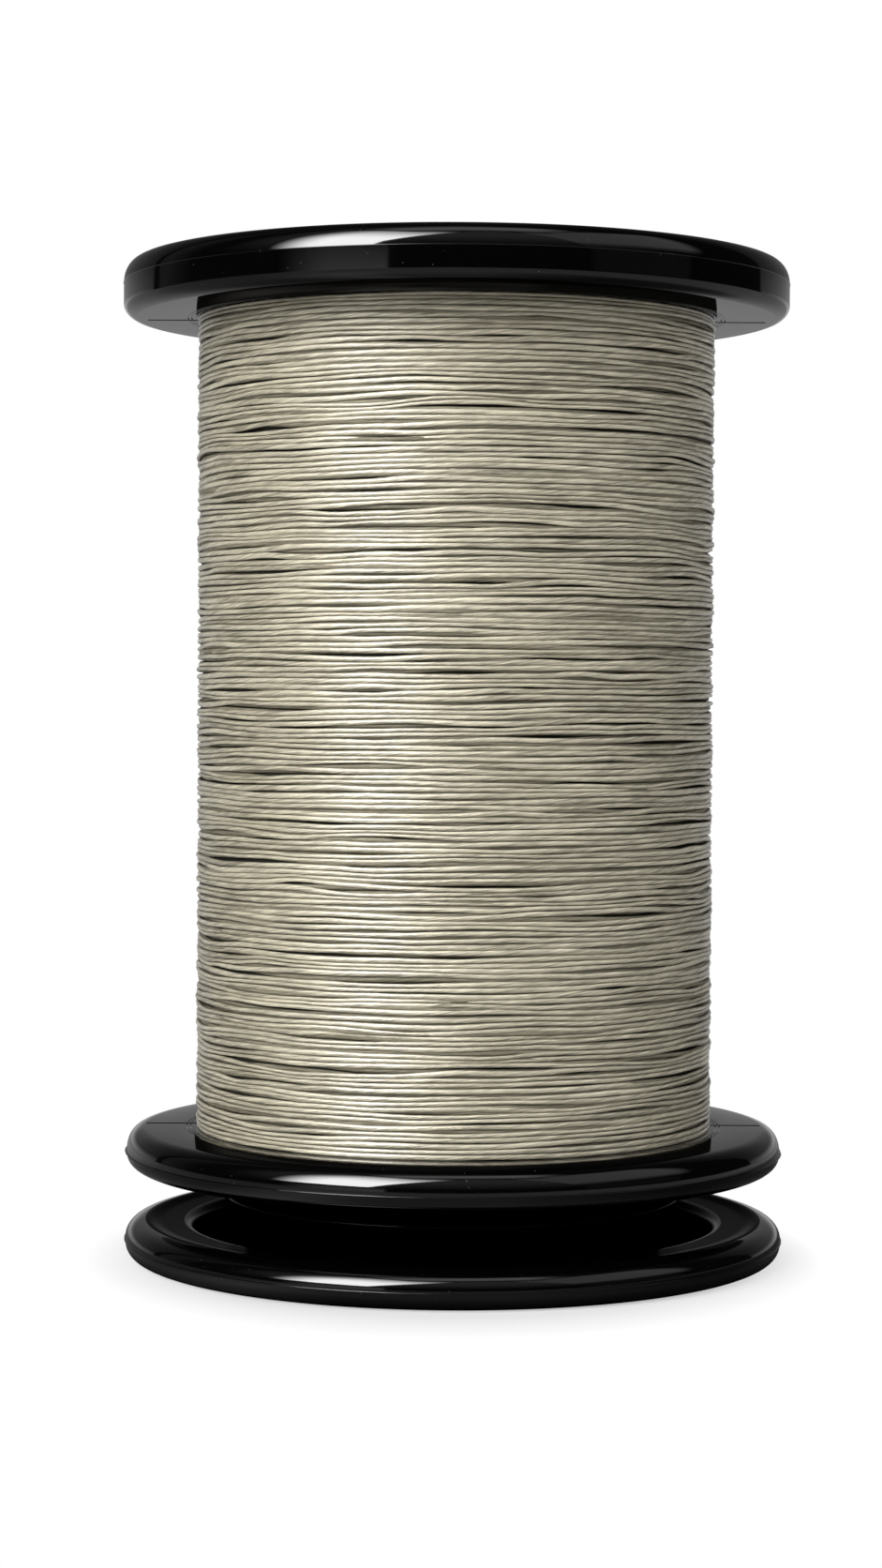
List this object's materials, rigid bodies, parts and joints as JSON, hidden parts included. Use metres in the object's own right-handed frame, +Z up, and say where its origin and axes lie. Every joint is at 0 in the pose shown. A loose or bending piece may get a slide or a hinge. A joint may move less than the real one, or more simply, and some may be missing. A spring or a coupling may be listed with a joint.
{
  "type": "filament spool",
  "caption": "Tall flanged spool full of fine twisted strand, with a second disc below the base flange that slides in to shut the waist where a loose end is parked.",
  "frame": {"origin": "centre of the ring the foot stands on, on the spool's axis", "axes": "+Z up along the spool's axis from the foot to the top flange; +X and -X carry the mould's split line"},
  "size_m": [0.0506, 0.0506, 0.0751],
  "materials": {
    "black_plastic": "high gloss black moulded plastic with fine handling scratches",
    "strand": "fine twisted multi-filament strand, silver-champagne, satin sheen"
  },
  "bodies": {
    "spool": {"top_flange": "black_plastic", "barrel": "black_plastic", "base_flange": "black_plastic", "filament_inner_layers": "strand", "filament_outer_layer": "strand"},
    "foot": {"snap_foot": "black_plastic"}
  },
  "joints": [
    {"name": "foot_slide", "type": "slide", "parent": "spool", "child": "foot", "axis": [0, 0, 1], "range_m": [0, 0.0032]}
  ]
}
